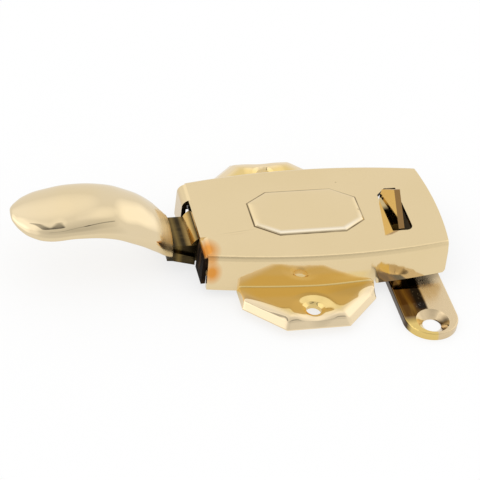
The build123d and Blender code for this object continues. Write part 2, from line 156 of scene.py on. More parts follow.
class Shader(Tree):
    # one material's node tree
    def __init__(self, name):
        self.material = bpy.data.materials.new(name)
        self.material.use_nodes = True
        super().__init__(self.material.node_tree)
        self.nodeTree.nodes.clear()

    def blend(self, factor, first, second):
        # 6 and 7 are the mix node's two colour sockets, and 2 is its colour output
        sockets = {0: factor}
        for key, tone in ((6, first), (7, second)):
            sockets[key] = tone if isinstance(tone, Field) else (*tone, 1.0)
        return self.add("ShaderNodeMix", {"data_type": "RGBA"}, sockets, output=2)

    def place(self):
        return self.add("ShaderNodeTexCoord", output="Object")

    def noise(self, where, scale, detail=2.0, roughness=0.5):
        sizes = {"Vector": where, "Scale": scale, "Detail": detail, "Roughness": roughness}
        return self.add("ShaderNodeTexNoise", None, sizes)

    def stretched(self, where, scale, turn=(0, 0, 0)):
        numbers = {"Vector": where, "Rotation": turn, "Scale": scale}
        return self.add("ShaderNodeMapping", None, numbers)

    def spot(self, where, centre, radius, soft, turn=0.0):
        # 1 at centre, falling to 0 round an ellipsoid; centre and half sizes are in millimetres
        offset = self.vector("SUBTRACT", where, [value * mm for value in centre])
        if turn:
            offset = self.stretched(offset, (1, 1, 1), (0, 0, math.radians(turn)))
        scaled = self.vector("DIVIDE", offset, [value * mm for value in radius])
        distance = self.vector("LENGTH", scaled, output="Value")
        return ((1.0 - distance) * (1.0 / soft)).clip()

    def finish(self, surface):
        self.add("ShaderNodeOutputMaterial", None, {"Surface": surface})
        return self.material


# brass: sheet and castings share broad patches of tone and a slow ripple from polishing
brassUser = {
    "sheetTone": (0.89, 0.71, 0.42),
    "castTone": (0.86, 0.71, 0.47),
    "deepTone": (0.855, 0.675, 0.38),
    # painted reflection: the deeper gold where the walls and the ears mirror each other
    "paintedReflectionGold": (0.90, 0.67, 0.27),
    "sheetRoughness": 0.06,
    "castRoughness": 0.03,
    "coat": 0.15,
    "coatRoughness": 0.03,
    "ripple": 0.02,
}


def brassTone(shader, where, tone):
    broad = shader.noise(where, 55.0)
    return shader.blend(broad.above(0.35, 0.4) * 0.6, tone, brassUser["deepTone"])


def brassSurface(shader, where, tone, roughness):
    fine = shader.noise(where, 900.0, 3.0)
    ripple = shader.add("ShaderNodeBump", None, {
        "Height": shader.noise(where, 160.0, 1.0),
        "Strength": brassUser["ripple"],
        "Distance": 1.0 * mm,
    })
    return shader.add("ShaderNodeBsdfPrincipled", None, {
        "Base Color": tone,
        "Metallic": 1.0,
        "Roughness": fine.above(0.5, 0.5) * 0.04 + roughness,
        "Coat Weight": brassUser["coat"],
        "Coat Roughness": brassUser["coatRoughness"],
        "Normal": ripple,
    })


# inner works, shown as the solids are, and the hollow side of the case's sheet:
# bright tone, dark tone, roughness, scale of the blotches
innerUser = {
    "innerBrass": ((0.05, 0.04, 0.025), (0.015, 0.012, 0.01), 0.45, 220.0),
    "boltBrass": ((0.30, 0.22, 0.10), (0.16, 0.11, 0.05), 0.4, 260.0),
    "drawnSteel": ((0.42, 0.42, 0.43), (0.25, 0.24, 0.24), 0.3, 300.0),
}
nodeMetals = {
    "pivot_pin": "drawnSteel",
    "braze_beads": "boltBrass",
    "bolt": "boltBrass",
    "rear_guide": "boltBrass",
    "front_guide": "boltBrass",
    "return_spring": "drawnSteel",
}


def dullMetal(name, highlightGold, dark, roughness, scale):
    # unpolished and tarnished metal, blotched in two tones
    shader = Shader(name)
    where = shader.place()
    blotch = shader.noise(where, scale, 4.0, 0.6)
    relief = shader.add("ShaderNodeBump", None, {
        "Height": shader.noise(where, 1500.0),
        "Strength": 0.1,
        "Distance": 0.1 * mm,
    })
    surface = shader.add("ShaderNodeBsdfPrincipled", None, {
        "Base Color": shader.blend(blotch.above(0.35, 0.3), highlightGold, dark),
        "Metallic": 1.0,
        "Roughness": roughness + (blotch - 0.5) * 0.2,
        "Normal": relief,
    })
    return shader.finish(surface)


innerMetals = {name: dullMetal(name, *values) for name, values in innerUser.items()}
for nodeName, metalName in nodeMetals.items():
    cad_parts[nodeName].data.materials.clear()
    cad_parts[nodeName].data.materials.append(innerMetals[metalName])
print("inner works done")

# every edge sharper than sharpFrom degrees gets a small rounding
roundingUser = {"steps": 3, "sharpFrom": 28.0, "mergeWithin": 0.002 * mm}


def mergedCopy(nodeName):
    # the solid's own faces with their points merged and flat facets joined
    build = bmesh.new()
    build.from_mesh(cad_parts[nodeName].data)
    bmesh.ops.remove_doubles(build, verts=build.verts, dist=roundingUser["mergeWithin"])
    bmesh.ops.dissolve_limit(
        build,
        angle_limit=math.radians(0.02),
        verts=build.verts,
        edges=build.edges,
    )
    return build


def closeOpenings(build):
    openEdges = [edge for edge in build.edges if edge.is_boundary]
    bmesh.ops.holes_fill(build, edges=openEdges, sides=0)


def bridge(build, first, second):
    # faces between two closed rows with the same number of points
    for place in range(len(first)):
        after = (place + 1) % len(first)
        build.faces.new((first[place], first[after], second[after], second[place]))


def finishPiece(build, name, material, edgeWidth, body, *nodes):
    # a small rounding on every sharp edge, then flat faces keep their own direction
    mesh = bpy.data.meshes.new(name)
    build.to_mesh(mesh)
    build.free()
    mesh.materials.append(material)
    piece = bpy.data.objects.new(name, mesh)
    bpy.context.scene.collection.objects.link(piece)
    for face in mesh.polygons:
        face.use_smooth = True
    bevel = piece.modifiers.new("edges", "BEVEL")
    bevel.width = edgeWidth
    bevel.segments = roundingUser["steps"]
    bevel.limit_method = "ANGLE"
    bevel.angle_limit = math.radians(roundingUser["sharpFrom"])
    bevel.use_clamp_overlap = True
    weights = piece.modifiers.new("flats", "WEIGHTED_NORMAL")
    weights.keep_sharp = True
    weights.weight = 100
    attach(piece, body)
    if nodes:
        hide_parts(*nodes)
    return piece


# case: the cover, walls and legs keep the solid's form, with the walls flared a little more
caseUser = {
    "edgeWidth": 0.06 * mm,
    "middle": 5.5 * mm,
    "halfLength": 27.0 * mm,
    "halfWidths": (13.35 * mm, 15.9 * mm, 13.9 * mm),  # at the left, middle and right
    "sheet": 1.0 * mm,
    "coverTop": 8.6 * mm,
    "wallTop": 7.3 * mm,
    "wallLean": 5.5,  # degrees
    "wallCuts": 26,
    "cutSpacing": 2.0 * mm,
    "foot": 0.4 * mm,
    "flare": (0.012, 0.16),
    "earEnd": 15.67 * mm,
    "footRise": (0.8 * mm, 1.6 * mm),
    # what is left of the solid's ears shrinks, so that the new ears hide it
    "earCut": 17.0 * mm,
    "stubOut": 0.97 * mm,
    "stubTop": 1.5 * mm,
    "stubShrink": (0.96, 0.6),
    # the sheet's hollow side: above hollowTop the cover, and how far the legs reach in
    "hollowTop": 6.2 * mm,
    "legReach": 2.5 * mm,
    "legFoot": 1.5 * mm,
    "legBack": 1.4 * mm,
    "octagonX": 3.2 * mm,
    "octagonHalf": (12.5 * mm, 7.5 * mm),
    "octagonCorner": (5.0 * mm, 3.5 * mm),
    "cornerInset": 0.3 * mm,
    # distance in from the outline and height over the cover, of the octagon's rounded edge
    "octagonEdge": (
        (0.0, -0.03), (0.01, 0.01), (0.12, 0.11), (0.26, 0.19), (0.45, 0.255), (0.7, 0.305),
        (1.0, 0.34), (1.4, 0.37), (1.9, 0.39), (2.6, 0.4),
    ),
    # marks in millimetres: centre, half sizes, turn in degrees, strength
    "stains": (
        ((-21.2, -10.6, 8.4), (3.2, 4.1, 2.2), 10, 1.0),
        ((-20.6, -14.0, 4.8), (2.4, 1.8, 3.3), 0, 1.0),
        ((-20.7, -13.2, 7.8), (1.8, 1.4, 1.8), 0, 0.6),
    ),
    "scratches": (
        ((-13.0, -5.3, 8.6), (5.5, 0.09, 1.0), -7, 0.5),
        ((-13.5, -6.1, 8.6), (3.0, 0.07, 1.0), -7, 0.35),
        ((12.8, 9.75, 8.6), (0.28, 0.24, 1.0), 0, 0.9),
        ((15.3, -0.6, 9.0), (0.36, 0.4, 1.0), 0, 1.0),
    ),
    "stainTone": (0.82, 0.34, 0.06),
    "scratchTone": (0.62, 0.47, 0.26),
    # pairs give where a mark begins or ends, and over what width it fades
    "onCover": (8.2 * mm, 0.2 * mm),
    # painted shade in the crease round the octagon, stronger towards the left
    "creaseShadeTone": (0.13, 0.08, 0.03),
    "creaseHalf": 0.24 * mm,
    "creaseLeft": (-6.0 * mm, 9.0 * mm),
    # painted highlight inside the octagon's front edge
    "edgeHighlightTone": (1.0, 0.93, 0.80),
    "edgeHighlightHalf": 0.75 * mm,
    "edgeHighlightShare": 0.75,
    "edgeHighlightFront": (-6.5 * mm, 5.0 * mm),
    "wallFace": (15.2 * mm, 0.3 * mm),
    "wallLow": (4.0 * mm, 0.9 * mm),
    "besideEar": (12.8 * mm, 2.6 * mm),
    "besideShare": 0.7,
    "legEnd": (caseLeft + 0.1 * mm, 0.35 * mm),
    "legTop": (7.3 * mm, 0.7 * mm),
    "rearLeg": (6.3 * mm, 0.3 * mm),
    # painted shade on the rear leg's end
    "rearLegShadeTone": (0.76, 0.58, 0.33),
    "frontLeg": ((-12.6 * mm, 0.2 * mm), (-6.3 * mm, 0.3 * mm)),
    # painted shade on the front leg's end, as a dark matt surface
    "frontLegShadeTones": ((0.012, 0.008, 0.006), (0.10, 0.055, 0.025)),
    "frontLegShadeRoughness": 0.7,
    "frontLegShadeGloss": 0.05,
}


def wallHalf(x):
    # half width at the cover's edge
    left, middle, right = caseUser["halfWidths"]
    share = (x - caseUser["middle"]) / caseUser["halfLength"]
    return middle + share * (right - left) / 2 + share * share * ((left + right) / 2 - middle)


def wallFlare(x, z):
    # how far the wall stands out beyond the solid's wall at this height
    share = max(x - caseLeft, 0.0) / (2 * caseUser["halfLength"])
    first, last = caseUser["flare"]
    return (first + (last - first) * share * share) * max(caseUser["wallTop"] - z, 0.0)


def octagonMarks(shader, where):
    # painted shade in the crease round the octagon, stronger on the left, and a painted highlight
    # inside its front edge
    x, y, z = shader.axes(where)
    halfX, halfY = caseUser["octagonHalf"]
    cornerX, cornerY = caseUser["octagonCorner"]
    length = math.hypot(cornerX, cornerY)
    cornerAway = (cornerY * halfX + cornerX * (halfY - cornerY)) / length
    fromX = (x - caseUser["octagonX"]).size()
    fromY = y.size()
    diagonal = fromX * (cornerY / length) + fromY * (cornerX / length) - cornerAway
    away = (fromX - halfX).take("MAXIMUM", fromY - halfY).take("MAXIMUM", diagonal)
    patchy = shader.noise(where, 130.0).above(0.38, 0.25) * 0.6 + 0.5
    strength = patchy + x.below(*caseUser["creaseLeft"]) * 0.5
    onCover = z.above(*caseUser["onCover"])
    crease = away.near(0.0, caseUser["creaseHalf"]) * strength * onCover
    edgeHighlight = away.near(-caseUser["edgeHighlightHalf"], caseUser["edgeHighlightHalf"])
    return crease.clip(), edgeHighlight * y.below(*caseUser["edgeHighlightFront"]) * onCover


def makeCaseBrass():
    # heat stains, hairlines, specks, painted shade and highlight at the octagon, painted shade on
    # the front leg
    shader = Shader("caseBrass")
    where = shader.place()
    tone = brassTone(shader, where, brassUser["sheetTone"])
    for marks, soft, markTone in (
        (caseUser["stains"], 0.7, caseUser["stainTone"]),
        (caseUser["scratches"], 0.5, caseUser["scratchTone"]),
    ):
        for centre, radius, turn, strength in marks:
            mark = shader.spot(where, centre, radius, soft, turn)
            tone = shader.blend(mark * strength, tone, markTone)
    crease, edgeHighlight = octagonMarks(shader, where)
    # painted highlight inside the octagon's front edge
    tone = shader.blend(edgeHighlight * caseUser["edgeHighlightShare"], tone, caseUser["edgeHighlightTone"])
    # painted shade in the octagon's crease
    tone = shader.blend(crease, tone, caseUser["creaseShadeTone"])

    # painted reflection: a deeper gold on the wall beside the ears; painted shade: the rear leg's
    # end is darker
    x, y, z = shader.axes(where)
    onWall = y.size().above(*caseUser["wallFace"]) * z.below(*caseUser["wallLow"])
    besideEar = onWall * x.size().below(*caseUser["besideEar"])
    tone = shader.blend(besideEar * caseUser["besideShare"], tone, brassUser["paintedReflectionGold"])
    onEnd = x.below(*caseUser["legEnd"]) * z.below(*caseUser["legTop"])
    tone = shader.blend(y.above(*caseUser["rearLeg"]) * onEnd, tone, caseUser["rearLegShadeTone"])

    # painted shade: the front leg's end is a dark, matt, blotched surface
    outer, inner = caseUser["frontLeg"]
    onFrontLeg = y.above(*outer) * y.below(*inner) * onEnd
    frontLegBlotch = shader.noise(shader.stretched(where, (1.0, 1.0, 0.25)), 500.0, 3.0)
    frontLegShade = shader.add("ShaderNodeBsdfPrincipled", None, {
        "Base Color": shader.blend(frontLegBlotch.above(0.5, 0.15), *caseUser["frontLegShadeTones"]),
        "Metallic": 0.0,
        "Roughness": caseUser["frontLegShadeRoughness"],
        "Specular IOR Level": caseUser["frontLegShadeGloss"],
    })
    metal = brassSurface(shader, where, tone, brassUser["sheetRoughness"])
    surface = shader.add("ShaderNodeMixShader", None, {0: onFrontLeg, 1: metal, 2: frontLegShade})
    return shader.finish(surface)


def cutAcross(build, place, direction, clear=False):
    geometry = list(build.verts) + list(build.edges) + list(build.faces)
    bmesh.ops.bisect_plane(
        build,
        geom=geometry,
        dist=0.0005 * mm,
        plane_co=place,
        plane_no=direction,
        clear_outer=clear,
    )


def shapeWalls(build):
    # the ears come off, the walls flare towards the right and their feet rise there
    for side in (-1, 1):
        cutAcross(build, (0, side * caseUser["earCut"], 0), (0, side, 0), True)
    closeOpenings(build)
    for number in range(caseUser["wallCuts"]):
        cutAcross(build, (caseLeft + (number + 1) * caseUser["cutSpacing"], 0, 0), (1, 0, 0))
    lowest, highest = caseUser["footRise"]
    shrinkX, shrinkZ = caseUser["stubShrink"]
    rightX = caseUser["middle"] + caseUser["halfLength"]
    for point in build.verts:
        x, y, z = point.co
        outside = abs(y) - wallHalf(x)
        drop = caseUser["wallTop"] - z
        if outside < -caseUser["sheet"] or drop < 0:
            continue
        if outside > caseUser["stubOut"] and z < caseUser["stubTop"]:
            point.co.z *= shrinkZ
            point.co.x *= shrinkX
        point.co.y += math.copysign(wallFlare(x, z), y)
        if x > caseUser["earEnd"]:
            share = (x - caseUser["earEnd"]) / (rightX - caseUser["earEnd"])
            rise = lowest + (highest - lowest) * share
            point.co.z += rise * drop / (caseUser["wallTop"] - caseUser["foot"])


def addOctagon(build):
    # the embossed octagon, with a sharp foot and a soft upper edge
    halfX, halfY = caseUser["octagonHalf"]
    cornerX, cornerY = caseUser["octagonCorner"]
    quarter = [(halfX, halfY - cornerY), (halfX - cornerX, halfY)]
    corners = quarter + [(-x, y) for x, y in reversed(quarter)]
    corners += [(-x, -y) for x, y in corners]
    rings = []
    for inset, height in caseUser["octagonEdge"]:
        moved = []
        for number, (x, y) in enumerate(corners):
            before = Vector(corners[number - 1])
            here = Vector((x, y))
            after = Vector(corners[(number + 1) % 8])
            first = (here - before).normalized()
            second = (after - here).normalized()
            firstIn = Vector((-first.y, first.x))
            secondIn = Vector((-second.y, second.x))
            inward = (firstIn + secondIn).normalized()
            moved.append(here + inward * (inset * mm / firstIn.dot(inward)))
        ring = []
        for number, start in enumerate(moved):
            end = moved[(number + 1) % 8]
            near = caseUser["cornerInset"] / (end - start).length
            for share in (0.0, near, 0.25, 0.5, 0.75, 1.0 - near):
                x, y = start.lerp(end, share)
                z = caseUser["coverTop"] + height * mm
                ring.append(build.verts.new((x + caseUser["octagonX"], y, z)))
        rings.append(ring)
    for outer, inner in zip(rings, rings[1:]):
        bridge(build, outer, inner)
    build.faces.new(rings[-1])
    build.faces.new(list(reversed(rings[0])))


def isInside(centre, normal):
    # faces on the hollow side of the sheet
    if normal.z < -0.4 and centre.z > caseUser["hollowTop"]:
        return True
    clearOfFoot = centre.x > caseLeft + caseUser["legReach"] or centre.z > caseUser["legFoot"]
    if abs(normal.y) > 0.5 and centre.y * normal.y < 0 and clearOfFoot:
        return True
    return normal.x > 0.5 and centre.x < caseLeft + caseUser["legBack"]


caseBuild = mergedCopy("case")
for point in caseBuild.verts:
    point.co.z = min(point.co.z, caseUser["coverTop"])
shapeWalls(caseBuild)
addOctagon(caseBuild)
casePiece = finishPiece(
    caseBuild, "dressed_case", makeCaseBrass(), caseUser["edgeWidth"], "body", "case"
)
casePiece.data.materials.append(innerMetals["innerBrass"])
for face in casePiece.data.polygons:
    if isInside(face.center, face.normal):
        face.material_index = 1
print("case done")

# ears: a height over the plan, dished round the screw hole and turned down at the edge
earUser = {
    # plan and heights in millimetres, with the distance from the case's middle line as second
    "outline": ((-15.0, 21.0), (-6.9, 28.7), (7.1, 28.7), (15.0, 20.8), (15.5, 17.5)),
    "innerLine": 14.0,
    "rootSteps": 30,
    "rootHeight": 1.5,
    "rootInset": 0.4,
    "hole": (0.0, 23.9),
    "holeRadius": 1.65,
    "plate": 1.5,
    "plateFrom": 16.5,
    "plateSlope": 0.055,
    # the right end stands higher beside the wall: where each rise begins and its length
    "rightRise": 0.5,
    "riseAlong": (2.0, 13.0),
    "riseAcross": (21.5, 4.0),
    "edgeSharpness": 6.0,
    "edgeShares": (2.5, 1.0, 1.0, 1.0, 3.0, 3.0),
    "edgeHeight": 0.3,
    "rimRun": 1.1,
    "rimHeight": 1.35,
    "bandRun": 3.4,
    "dishDepth": 0.55,
    "dishRadius": 5.4,
    "sinkDepth": 0.35,
    "sinkRadius": 2.5,
    "thickness": 1.0,
    "spokes": 240,
    "rings": 44,
    "lowerShares": (1.0, 0.8, 0.6, 0.4, 0.2, 0.0),
    "bend": 0.32,
    "bendFrom": -14.9,
    "bendLength": 30.2,
    "bendRows": 60,
    "bendSteps": 8,
    "bendHeight": 1.7,
    "bendBuried": 0.2,
    # slopes of the slanted edges in X and Y, and their distance from the case's middle
    "slanted": (0.69, 0.72, 25.45),
    "rimInset": (-4.0 * mm, 1.8 * mm),
    # painted reflection: the pale rim, against the deeper gold of the dish
    "paleReflectionTone": (0.94, 0.765, 0.50),
}


def makeEarBrass():
    # painted reflections: deeper gold in the dish, paler towards the rim
    shader = Shader("earBrass")
    where = shader.place()
    x, y = shader.axes(where)[:2]
    slopeX, slopeY, far = earUser["slanted"]
    slanted = x.size() * slopeX + y.size() * slopeY - far * mm
    outermost = max(corner[1] for corner in earUser["outline"])
    inset = (y.size() - outermost * mm).take("MAXIMUM", slanted)
    onRim = inset.above(*earUser["rimInset"])
    tone = shader.blend(onRim, brassUser["paintedReflectionGold"], earUser["paleReflectionTone"])
    return shader.finish(brassSurface(shader, where, tone, brassUser["sheetRoughness"]))


def smooth(value):
    value = min(max(value, 0.0), 1.0)
    return value * value * (3 - 2 * value)


def earRoot(x, z):
    # the wall's outer face at this height, in millimetres
    lean = (caseUser["coverTop"] / mm - z) * math.tan(math.radians(caseUser["wallLean"]))
    return (wallHalf(x * mm) + wallFlare(x * mm, z * mm)) / mm + lean


def earOutline():
    # the ear's plan, closed along a line inside the wall
    corners = list(earUser["outline"])
    left, right = corners[0][0], corners[-1][0]
    steps = earUser["rootSteps"]
    for number in range(steps + 1):
        x = right - number * (right - left) / steps
        corners.append((x, earRoot(x, earUser["rootHeight"]) - earUser["rootInset"]))
    return corners


def edgeDistance(x, v):
    # distance to the outer edges, with softened corners
    total = 0.0
    outline = earUser["outline"]
    innerLine = earUser["innerLine"]
    sharpness = earUser["edgeSharpness"]
    corners = [(outline[0][0], innerLine), *outline, (outline[-1][0], innerLine)]
    for number, ((ax, av), (bx, bv)) in enumerate(zip(corners, corners[1:])):
        length = math.hypot(bx - ax, bv - av)
        inward = ((bv - av) * (x - ax) - (bx - ax) * (v - av)) / length
        total += math.exp(-sharpness * inward * earUser["edgeShares"][number])
    return max(-math.log(total) / sharpness, 0.0)


def earHeight(x, v):
    edge = edgeDistance(x, v)
    rim = earUser["rimRun"]
    if edge < rim:
        rise = (earUser["rimHeight"] - earUser["edgeHeight"]) * edge / rim
        height = earUser["edgeHeight"] + rise
    else:
        share = smooth(0.5 + 0.5 * (edge - rim) / (earUser["bandRun"] - rim)) * 2 - 1
        plate = earUser["plate"] + earUser["plateSlope"] * (v - earUser["plateFrom"])
        height = earUser["rimHeight"] + (plate - earUser["rimHeight"]) * share
        alongFrom, alongLength = earUser["riseAlong"]
        acrossFrom, acrossLength = earUser["riseAcross"]
        atRight = smooth((x - alongFrom) / alongLength)
        atWall = smooth((acrossFrom - v) / acrossLength)
        height += earUser["rightRise"] * atRight * atWall
    beyondHole = math.hypot(x - earUser["hole"][0], v - earUser["hole"][1]) - earUser["holeRadius"]
    dishRun = earUser["dishRadius"] - earUser["holeRadius"]
    sinkRun = earUser["sinkRadius"] - earUser["holeRadius"]
    height -= earUser["dishDepth"] * (1 - smooth(beyondHole / dishRun))
    height -= earUser["sinkDepth"] * max(1 - beyondHole / sinkRun, 0.0)
    return height


def reach(corners, angle):
    # distance from the hole's centre to the outline in one direction
    along = (math.cos(angle), math.sin(angle))
    best = None
    centre = earUser["hole"]
    for (ax, av), (bx, bv) in zip(corners, corners[1:] + corners[:1]):
        edgeX, edgeV = bx - ax, bv - av
        cross = along[0] * edgeV - along[1] * edgeX
        if abs(cross) < 1e-9:
            continue
        offX, offV = ax - centre[0], av - centre[1]
        distance = (offX * edgeV - offV * edgeX) / cross
        share = (offX * along[1] - offV * along[0]) / cross
        if distance > 0 and -1e-6 <= share <= 1 + 1e-6 and (best is None or distance < best):
            best = distance
    return best


def addEar(build, side):
    corners = earOutline()
    centre = earUser["hole"]
    radius = earUser["holeRadius"]
    spokes = earUser["spokes"]
    rings = earUser["rings"]
    angles = [2 * math.pi * number / spokes for number in range(spokes)]
    for x, v in earUser["outline"]:
        exact = math.atan2(v - centre[1], x - centre[0]) % (2 * math.pi)
        nearest = min(range(spokes), key=lambda number: abs(angles[number] - exact))
        angles[nearest] = exact
    upperShares = [(1 - math.cos(math.pi * number / rings)) / 2 for number in range(rings + 1)]
    columns = []
    for angle in angles:
        far = reach(corners, angle)
        column = []
        for isLower, shares in ((False, upperShares), (True, earUser["lowerShares"])):
            for share in shares:
                away = radius + (far - radius) * share
                x = centre[0] + away * math.cos(angle)
                v = centre[1] + away * math.sin(angle)
                z = earHeight(x, v)
                if isLower:
                    z = max(z - earUser["thickness"], 0.0)
                column.append(build.verts.new((x * mm, side * v * mm, z * mm)))
        columns.append(column)
    for number, column in enumerate(columns):
        bridge(build, column, columns[(number + 1) % spokes])


def addBend(build, side):
    # the small inner radius where the ear is folded out of the wall
    radius = earUser["bend"]
    buried = earUser["bendBuried"]
    rows = []
    for number in range(earUser["bendRows"] + 1):
        x = earUser["bendFrom"] + earUser["bendLength"] * number / earUser["bendRows"]
        z = earHeight(x, earRoot(x, earUser["bendHeight"]) + radius)
        root = earRoot(x, z)
        row = [(root - buried, z - buried), (root - buried, z + radius)]
        for step in range(earUser["bendSteps"] + 1):
            turn = math.pi / 2 * step / earUser["bendSteps"]
            v = root + radius - radius * math.cos(turn)
            row.append((v, z + radius - radius * math.sin(turn)))
        row.append((root + radius, z - buried))
        rows.append([build.verts.new((x * mm, side * v * mm, height * mm)) for v, height in row])
    for first, second in zip(rows, rows[1:]):
        bridge(build, first, second)
    build.faces.new(rows[0])
    build.faces.new(rows[-1])


earBrass = makeEarBrass()
for side, name in ((-1, "front_ear"), (1, "rear_ear")):
    earBuild = bmesh.new()
    addEar(earBuild, side)
    addBend(earBuild, side)
    bmesh.ops.recalc_face_normals(earBuild, faces=earBuild.faces)
    earPiece = finishPiece(earBuild, name, earBrass, caseUser["edgeWidth"], "body")
print("ears done")

# strike: its left half has a painted dark reflection along the bar, darkest next to the middle
# line
strikeUser = {
    "edgeWidth": 0.16 * mm,
    # pairs give where a mark begins or ends, and over what width it fades
    "leftHalf": (25.15 * mm, 0.5 * mm),
    "rightHalf": (25.2 * mm, 0.8 * mm),
    "bandLeft": (22.7 * mm, 0.9 * mm),
    "bandEnd": (-26.5 * mm, 1.8 * mm),
    "darkReflectionEnd": (-29.5 * mm, 2.5 * mm),
    "highlightEnd": (-28.2 * mm, 1.2 * mm),
    "sideEnd": (-30.5 * mm, 1.5 * mm),
    "onBar": (0.2 * mm, 0.3 * mm),
    "underCase": (-16.0 * mm, 6.0 * mm),
    "barTop": (0.5 * mm, 1.0 * mm),
    "toothFoot": (1.0 * mm, 1.5 * mm),
    "narrowFoot": (1.5 * mm, 1.0 * mm),
    "toothShare": 0.8,
    "wander": 0.7 * mm,
    "satin": (0.79, 0.62, 0.385),
    # painted highlight at the end of the left half, and painted reflection on the tooth
    "highlightGold": (0.85, 0.62, 0.21),
    # painted brown reflection on the left half, streaked with gold
    "brown": (0.12, 0.052, 0.009),
    "gold": (0.27, 0.14, 0.02),
    # painted shade on the bar's left side
    "leftSideShade": (0.07, 0.04, 0.015),
    # painted black reflection along the middle, and pale specks painted as glints
    "band": (0.018, 0.012, 0.008),
    "specks": (0.8, 0.74, 0.6),
    # painted shade: the unpolished bar under the case, and the tooth's narrow sides
    "shadedSkin": (0.07, 0.046, 0.02),
    "toothSideShade": (0.36, 0.21, 0.08),
    "roughness": 0.07,
    "streakRoughness": 0.08,
    "satinRoughness": 0.17,
    "sideRoughness": 0.2,
    "skinRoughness": 0.25,
}


def makeStrikeBrass():
    shader = Shader("strikeBrass")
    where = shader.place()
    x, y, z = shader.axes(where)
    normal = shader.add("ShaderNodeNewGeometry", output="Normal")
    normalX, normalY, normalZ = shader.axes(normal)
    across = x + (shader.noise(where, 180.0) - 0.5) * strikeUser["wander"]
    leftHalf = across.below(*strikeUser["leftHalf"])
    onTop = normalZ.above(0.8, 0.15)
    streaks = shader.noise(shader.stretched(where, (1.0, 0.12, 1.0)), 900.0, 3.0)

    # the right half is satin and the left half a painted brown reflection, with a painted
    # highlight at its end
    atEnd = y.below(*strikeUser["highlightEnd"])
    tone = shader.blend(leftHalf * atEnd, strikeUser["satin"], strikeUser["highlightGold"])
    brown = shader.blend(streaks.above(0.42, 0.3), strikeUser["brown"], strikeUser["gold"])
    tone = shader.blend(leftHalf * y.above(*strikeUser["darkReflectionEnd"]) * onTop, tone, brown)
    # painted shade on the bar's left side
    leftSide = (normalX * -1.0).above(0.45, 0.25) * y.above(*strikeUser["sideEnd"])
    tone = shader.blend(leftSide * z.below(*strikeUser["onBar"]), tone, strikeUser["leftSideShade"])

    # a painted black reflection runs along the middle as a band, with pale specks painted as
    # glints
    band = across.above(*strikeUser["bandLeft"]) * leftHalf * y.above(*strikeUser["bandEnd"])
    tone = shader.blend(band * onTop, tone, strikeUser["band"])
    specks = shader.noise(where, 2600.0, 1.0).above(0.70, 0.04) * band
    tone = shader.blend(specks * onTop, tone, strikeUser["specks"])

    # the bar under the case and the narrow sides of the tooth are unpolished, and painted dark as
    # shade
    hidden = y.above(*strikeUser["underCase"]) * z.below(*strikeUser["barTop"])
    tone = shader.blend(hidden, tone, strikeUser["shadedSkin"])
    # painted reflection: the tooth in a bright gold
    onTooth = z.above(*strikeUser["toothFoot"]) * strikeUser["toothShare"]
    tone = shader.blend(onTooth, tone, strikeUser["highlightGold"])
    narrow = (normalY.size() + normalZ.size()).above(0.3, 0.2)
    narrow = narrow * z.above(*strikeUser["narrowFoot"])
    tone = shader.blend(narrow, tone, strikeUser["toothSideShade"])
    roughness = streaks.above(0.4, 0.4) * strikeUser["streakRoughness"] + strikeUser["roughness"]
    for share, added in (
        (across.above(*strikeUser["rightHalf"]) * onTop, strikeUser["satinRoughness"]),
        (narrow, strikeUser["sideRoughness"]),
        (hidden, strikeUser["skinRoughness"]),
    ):
        roughness = roughness + share * added
    surface = shader.add("ShaderNodeBsdfPrincipled", None, {
        "Base Color": tone,
        "Metallic": 1.0,
        "Roughness": roughness,
        "Coat Weight": 0.0,
    })
    return shader.finish(surface)


strikePiece = finishPiece(
    mergedCopy("strike"),
    "dressed_strike",
    makeStrikeBrass(),
    strikeUser["edgeWidth"],
    "body",
    "strike",
)
print("strike done")

# lever: the domed handle is a ring carried along a rule, and the hub keeps the solid's own form
handleUser = {
    "length": 34.7 * mm,
    "rings": 150,
    "sides": 88,
    "spread": 1.7,  # more rings near the tip
    "widest": 0.38,  # height of the widest line, as a share of the thickness
    "lowerFullness": 0.667,
    # distance from the tip and value, in millimetres, on curves that reach up to curveTop
    "curveTop": 20.0,
    "widths": (
        (0.0, 0.0), (0.12, 3.4), (0.5, 5.4), (1.7, 9.2), (3.7, 13.2), (7.7, 16.6),
        (13.7, 17.4), (19.7, 17.0), (25.7, 16.2), (30.7, 14.7), (33.8, 12.6), (34.7, 12.0),
    ),
    "thicknesses": (
        (0.0, 0.0), (0.12, 0.8), (0.5, 1.4), (1.7, 2.4), (3.7, 3.3), (7.7, 4.15),
        (13.7, 4.5), (19.7, 5.5), (25.7, 6.8), (30.7, 7.4), (33.8, 6.7), (34.7, 6.2),
    ),
    "undersides": (
        (0.0, 13.1), (0.12, 12.7), (0.5, 12.3), (1.7, 11.5), (3.7, 10.9), (7.7, 10.6),
        (13.7, 11.1), (19.7, 10.3), (25.7, 7.7), (30.7, 4.5), (33.8, 2.2), (34.7, 1.8),
    ),
    # past capStart the ring turns over a small radius and closes on the neck's end
    "capStart": 0.9,
    "capScales": ((0.915, 0.985), (0.93, 0.955), (0.945, 0.91), (1, 0)),
    "mergeWithin": 0.004 * mm,
    "neck": (caseLeft - 10.2 * mm, 2.6 * mm),
    "neckTone": (0.80, 0.60, 0.30),
    "neckRoughness": 0.38,
}


def makeLeverBrass():
    # the handle is polished up to a matt band at the neck's end
    shader = Shader("leverBrass")
    where = shader.place()
    atNeck = shader.axes(where)[0].above(*handleUser["neck"])
    tone = brassTone(shader, where, brassUser["castTone"])
    tone = shader.blend(atNeck, tone, handleUser["neckTone"])
    roughness = atNeck * handleUser["neckRoughness"] + brassUser["castRoughness"]
    return shader.finish(brassSurface(shader, where, tone, roughness))


